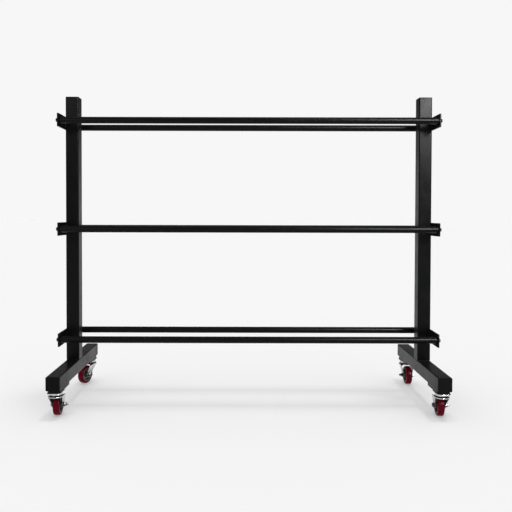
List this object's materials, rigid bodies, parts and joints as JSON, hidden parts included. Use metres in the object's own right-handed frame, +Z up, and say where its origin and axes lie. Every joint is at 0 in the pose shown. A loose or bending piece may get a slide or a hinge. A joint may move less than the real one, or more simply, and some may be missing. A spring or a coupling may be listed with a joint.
{
  "type": "medicine ball rack",
  "caption": "Tiered rack for medicine balls: front and rear round rails bolted to side plates on square-tube end frames, which stand on swivel casters.",
  "frame": {"origin": "on the floor, below the middle of the rack", "axes": "+X along the rails towards the right end frame, +Y from the front to the rear, +Z up"},
  "size_m": [1.4472, 0.5416, 1.1779],
  "materials": {
    "black_coat": "satin black powder coat on steel",
    "black_plastic": "moulded black plastic with a fine grain",
    "black_bolt": "black oxide on steel",
    "zinc": "bright zinc plate on pressed steel",
    "bearing_steel": "polished hard steel, greased",
    "red_tread": "smooth dark red polyurethane",
    "grey_core": "moulded grey nylon"
  },
  "bodies": {
    "rack": {"left_upright": "black_coat", "right_upright": "black_coat", "left_foot": "black_coat", "right_foot": "black_coat", "left_upright_cap": "black_plastic", "right_upright_cap": "black_plastic", "left_foot_front_cap": "black_plastic", "left_foot_rear_cap": "black_plastic", "right_foot_front_cap": "black_plastic", "right_foot_rear_cap": "black_plastic", "lower_left_plate": "black_coat", "lower_right_plate": "black_coat", "middle_left_plate": "black_coat", "middle_right_plate": "black_coat", "upper_left_plate": "black_coat", "upper_right_plate": "black_coat", "lower_front_rail": "black_coat", "lower_rear_rail": "black_coat", "middle_front_rail": "black_coat", "middle_rear_rail": "black_coat", "upper_front_rail": "black_coat", "upper_rear_rail": "black_coat", "lower_front_left_rail_bolt": "black_bolt", "lower_front_right_rail_bolt": "black_bolt", "lower_rear_left_rail_bolt": "black_bolt", "lower_rear_right_rail_bolt": "black_bolt", "middle_front_left_rail_bolt": "black_bolt", "middle_front_right_rail_bolt": "black_bolt", "middle_rear_left_rail_bolt": "black_bolt", "middle_rear_right_rail_bolt": "black_bolt", "upper_front_left_rail_bolt": "black_bolt", "upper_front_right_rail_bolt": "black_bolt", "upper_rear_left_rail_bolt": "black_bolt", "upper_rear_right_rail_bolt": "black_bolt", "front_left_caster_plate": "zinc", "front_right_caster_plate": "zinc", "rear_left_caster_plate": "zinc", "rear_right_caster_plate": "zinc", "front_left_ball_ring": "bearing_steel", "front_right_ball_ring": "bearing_steel", "rear_left_ball_ring": "bearing_steel", "rear_right_ball_ring": "bearing_steel"},
    "front_left_swivel_fork": {"front_left_fork": "zinc", "front_left_axle": "zinc"},
    "front_right_swivel_fork": {"front_right_fork": "zinc", "front_right_axle": "zinc"},
    "rear_left_swivel_fork": {"rear_left_fork": "zinc", "rear_left_axle": "zinc"},
    "rear_right_swivel_fork": {"rear_right_fork": "zinc", "rear_right_axle": "zinc"},
    "front_left_wheel": {"front_left_wheel_core": "grey_core", "front_left_tyre": "red_tread"},
    "front_right_wheel": {"front_right_wheel_core": "grey_core", "front_right_tyre": "red_tread"},
    "rear_left_wheel": {"rear_left_wheel_core": "grey_core", "rear_left_tyre": "red_tread"},
    "rear_right_wheel": {"rear_right_wheel_core": "grey_core", "rear_right_tyre": "red_tread"}
  },
  "joints": [
    {"name": "front_left_swivel", "type": "hinge", "parent": "rack", "child": "front_left_swivel_fork", "pos_m": [-0.685, -0.233, 0.0945], "axis": [0, 0, 1], "continuous": true},
    {"name": "front_right_swivel", "type": "hinge", "parent": "rack", "child": "front_right_swivel_fork", "pos_m": [0.685, -0.233, 0.0945], "axis": [0, 0, 1], "continuous": true},
    {"name": "rear_left_swivel", "type": "hinge", "parent": "rack", "child": "rear_left_swivel_fork", "pos_m": [-0.685, 0.233, 0.0945], "axis": [0, 0, 1], "continuous": true},
    {"name": "rear_right_swivel", "type": "hinge", "parent": "rack", "child": "rear_right_swivel_fork", "pos_m": [0.685, 0.233, 0.0945], "axis": [0, 0, 1], "continuous": true},
    {"name": "front_left_roll", "type": "hinge", "parent": "front_left_swivel_fork", "child": "front_left_wheel", "pos_m": [-0.6873, -0.20008, 0.0375], "axis": [0.9976, 0.0698, 0], "continuous": true},
    {"name": "front_right_roll", "type": "hinge", "parent": "front_right_swivel_fork", "child": "front_right_wheel", "pos_m": [0.68788, -0.20013, 0.0375], "axis": [0.9962, -0.0872, 0], "continuous": true},
    {"name": "rear_left_roll", "type": "hinge", "parent": "rear_left_swivel_fork", "child": "rear_left_wheel", "pos_m": [-0.69736, 0.2024, 0.0375], "axis": [-0.9272, 0.3746, 0], "continuous": true},
    {"name": "rear_right_roll", "type": "hinge", "parent": "rear_right_swivel_fork", "child": "rear_right_wheel", "pos_m": [0.68442, 0.2, 0.0375], "axis": [-0.9998, 0.0175, 0], "continuous": true}
  ]
}
